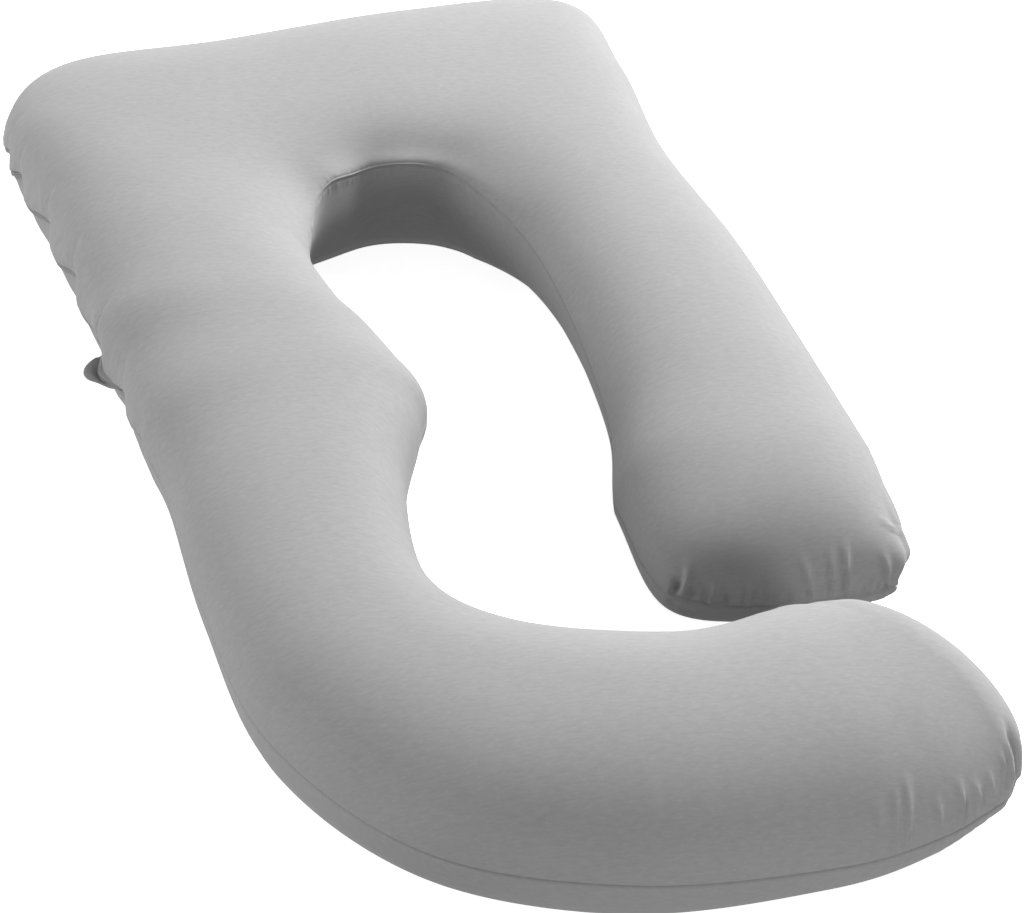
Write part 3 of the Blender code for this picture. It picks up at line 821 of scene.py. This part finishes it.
def buildStitches(under, material):
    # two rows of stitching in the strip's valleys
    rows = rowsBetween(under[:, -1], strip["topY"], strip["lowY"], strip["loops"])
    rows = rows[strip["taper"]:-strip["taper"]]
    lines = np.array(layOnPanel(under, rows, strip["valleys"], [strip["valleyHigh"]] * 2))
    count = len(rows)
    edges = [(row * count + k, row * count + k + 1) for row in (0, 1) for k in range(count - 1)]
    mesh = bpy.data.meshes.new("stitchLines")
    mesh.from_pydata([tuple(v) for v in np.concatenate([lines[:, 0], lines[:, 1]])], edges, [])
    guide = bpy.data.objects.new("stitchLines", mesh)
    scene.collection.objects.link(guide)
    modifier = guide.modifiers.new("stitches", "NODES")
    modifier.node_group = stitchTree()
    given = {"Spacing": strip["stitchEvery"], "Length": strip["stitchLong"],
             "Thickness": strip["stitchThick"], "Thread": material}
    for socket in modifier.node_group.interface.items_tree:
        if socket.name in given:
            modifier[socket.identifier] = given[socket.name]
    made = bpy.data.meshes.new_from_object(guide.evaluated_get(bpy.context.evaluated_depsgraph_get()))
    bpy.data.objects.remove(guide)
    piece = bpy.data.objects.new("zipStripStitches", made)
    scene.collection.objects.link(piece)
    return piece


def buildEar(rim, way):
    # a flat leaf of folded cloth with a rolled root, closed all round
    nAlong, nOut = ear["cells"]
    line, out = zipLine(rim, way, ear["topY"], ear["topY"] - ear["long"], nAlong + 1)
    t = np.linspace(0, 1, nAlong + 1)
    reach = np.maximum(smoothRead(ear["outline"], t * ear["long"] / mm), ear["least"]) * mm
    w = np.sin(np.linspace(0, 1, nOut + 1) * math.pi / 2)
    far = w[None, :] * reach[:, None]
    tuckLine = ear["tuckAt"] * (0.45 + 0.75 * np.sin(math.pi * np.clip(t * 1.25, 0, 1)))[:, None]
    tuck = np.exp(-((far - tuckLine) / ear["tuckWide"])**2) * plateau(ear["tuckSpan"], t)[:, None]
    roll = ear["roll"] * np.exp(-((far - ear["rollAt"] * tuckLine) / ear["rollWide"])**2)
    leaf = (far / ear["riseReach"])**1.5 * np.sin(math.pi * np.clip(0.1 + 0.9 * t, 0, 1))[:, None]
    height = roll + ear["rise"] * leaf - ear["tuck"] * tuck - ear["droop"]
    edge = np.sqrt(np.clip(1 - w**4, 0, 1))[None, :] * np.clip(np.sin(math.pi * t) * 3, 0.25, 1)[:, None]
    upper = line[:, None] + out[:, None] * (far + ear["off"])[..., None]
    lower = upper.copy()
    upper[..., 2] += height + ear["thick"] / 2 * edge
    lower[..., 2] += height - ear["thick"] / 2 * edge
    loops = [np.concatenate([upper[k], lower[k][::-1][1:]]) for k in range(nAlong + 1)]
    return closedSweep("zipEarFolded", loops)


topGrid, underGrid = panelGrids()
flats = [flatPattern(topGrid), flatPattern(underGrid) + np.array([3.0, 1.7])]
topGrid, underGrid = dressPanels(topGrid, underGrid)
pillow = meshFromPanels("pillowCover", topGrid, underGrid, flats)
print("stage: cover", sum(len(face.vertices) - 2 for face in pillow.data.polygons), "triangles")
coverCloth = heatherJersey("heatheredCottonJersey", jersey)
pillow.data.materials.append(coverCloth)
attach(pillow, "root")
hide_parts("pillow")

# the strip's cloth carries painted shade: the same jersey, darkened by the strip's factor
stripCloth = heatherJersey("foldedCottonJerseyPaintedShade", jersey, strip["paintedShadeScale"])
earCloth = heatherJersey("turnedCottonJersey", jersey)
zipStrip = buildStrip(underGrid)
zipEar = buildEar(underGrid[:, -1], rightOf(underGrid[:, -1]))
for piece, cloth, node, slot in ((zipStrip, stripCloth, "zip_strip", "strip_jersey"),
                                 (zipEar, earCloth, "zip_ear", "ear_jersey")):
    piece.data.materials.append(cloth)
    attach(piece, "root")
    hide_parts(node)
stitches = buildStitches(underGrid, spunThread("spunPolyesterThread", thread))
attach(stitches, "root")
print("stage: zip strip, ear and", len(stitches.data.polygons), "faces of stitching")

studio = {
    "floor": "F6F6F6", "floorHalf": 60.0, "floorGlow": 0.85, "world": 0.19,
    "aim": (0, 0.05, 0.1), "away": 5.0,            # the lamps' common target and distance, in metres
    # soft round lamps: elevation and azimuth round the pillow (0 is +X), width in metres, power in watts
    "lamps": {
        "keyLamp":   (45, 30, 2.6, 272),
        "sideLamp":  (20, 30, 2.6, 128),
        "backLamp":  (20, 150, 2.6, 106),
        "leftLamp":  (8, 150, 1.2, 36),
        "frontLamp": (8, 240, 1.2, 46),
        "rightLamp": (8, 300, 1.2, 46),
    },
    "azimuth": -22.17, "elevation": 41.67, "distance": 2.499, "roll": 3.5,
    "target": (0.4064, 0.6302, 0.1), "focalPixels": 2284, "widthPixels": 1024,
}


def lookAt(place, target):
    return (Vector(target) - Vector(place)).to_track_quat("-Z", "Y").to_matrix().to_4x4()


def buildStage():
    half = studio["floorHalf"]
    mesh = bpy.data.meshes.new("studioFloor")
    corners = [(-half, -half, 0), (half, -half, 0), (half, half, 0), (-half, half, 0)]
    mesh.from_pydata(corners, [], [(0, 1, 2, 3)])
    floor = bpy.data.objects.new("studioFloor", mesh)
    scene.collection.objects.link(floor)
    material = bpy.data.materials.new("paleFloor")
    material.use_nodes = True
    shader = material.node_tree.nodes["Principled BSDF"]
    shader.inputs["Base Color"].default_value = hexToLinear(studio["floor"])
    shader.inputs["Roughness"].default_value = 0.9
    shader.inputs["Specular IOR Level"].default_value = 0.1
    shader.inputs["Emission Color"].default_value = (1, 1, 1, 1)
    shader.inputs["Emission Strength"].default_value = studio["floorGlow"]
    mesh.materials.append(material)
    floor.visible_diffuse = False             # a lit table that throws no light back on the cloth
    world = bpy.data.worlds.new("studioWorld")
    scene.world = world
    world.use_nodes = True
    world.node_tree.nodes["Background"].inputs[0].default_value = (1, 1, 1, 1)
    world.node_tree.nodes["Background"].inputs[1].default_value = studio["world"]
    for name, (high, round_, size, power) in studio["lamps"].items():
        high, round_ = math.radians(high), math.radians(round_)
        way = Vector((math.cos(round_) * math.cos(high), math.sin(round_) * math.cos(high), math.sin(high)))
        place = way * studio["away"]
        light = bpy.data.lights.new(name, "AREA")
        light.shape, light.size, light.energy = "DISK", size, power
        lamp = bpy.data.objects.new(name, light)
        lamp.matrix_world = Matrix.Translation(place) @ lookAt(place, studio["aim"])
        scene.collection.objects.link(lamp)
    az, el = math.radians(studio["azimuth"]), math.radians(studio["elevation"])
    roll = math.radians(studio["roll"])
    back = Vector((math.sin(az) * math.cos(el), -math.cos(az) * math.cos(el), math.sin(el)))
    right = Vector((math.cos(az), math.sin(az), 0))
    up = back.cross(right)
    target = Vector(studio["target"]) - Vector((planZero[0], planZero[1], 0))
    data = bpy.data.cameras.new("studioCamera")
    data.lens = studio["focalPixels"] * data.sensor_width / studio["widthPixels"]
    camera = bpy.data.objects.new("studioCamera", data)
    xAxis = right * math.cos(roll) + up * math.sin(roll)
    yAxis = up * math.cos(roll) - right * math.sin(roll)
    turn = Matrix((xAxis, yAxis, back)).transposed().to_4x4()
    camera.matrix_world = Matrix.Translation(target + back * studio["distance"]) @ turn
    scene.collection.objects.link(camera)
    scene.camera = camera
    scene.view_settings.view_transform = "Standard"


buildStage()
print("stage: studio")
